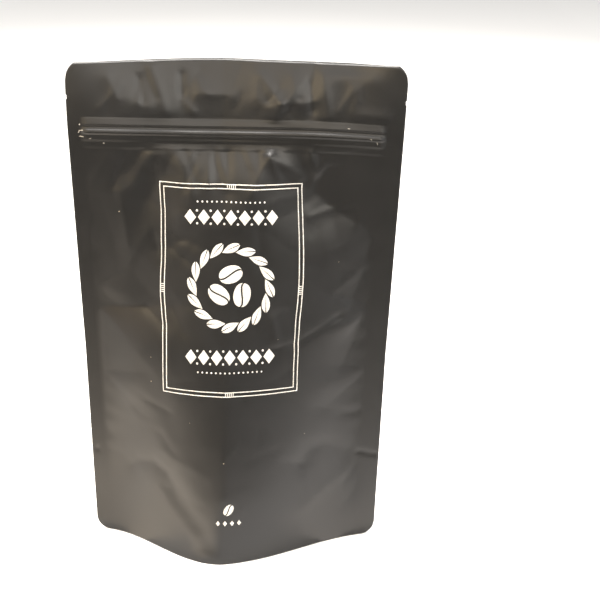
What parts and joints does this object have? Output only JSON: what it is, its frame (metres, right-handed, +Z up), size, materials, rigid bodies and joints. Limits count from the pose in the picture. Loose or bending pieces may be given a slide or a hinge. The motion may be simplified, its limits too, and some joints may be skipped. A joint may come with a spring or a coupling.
{
  "type": "stand-up coffee pouch",
  "caption": "Filled, shut stand-up pouch of matte black laminated foil with a press-to-close zip, tear notches and a bottom gusset it stands on.",
  "frame": {"origin": "on the table, at the centre of the pouch's bounding box seen from above", "axes": "+X to the right seen from the printed front, +Y towards the back panel, +Z up"},
  "size_m": [0.1587, 0.0702, 0.2414],
  "materials": {
    "film": "matte black PET and aluminium foil laminate"
  },
  "bodies": {
    "root": {"pouch": "film"}
  },
  "joints": []
}
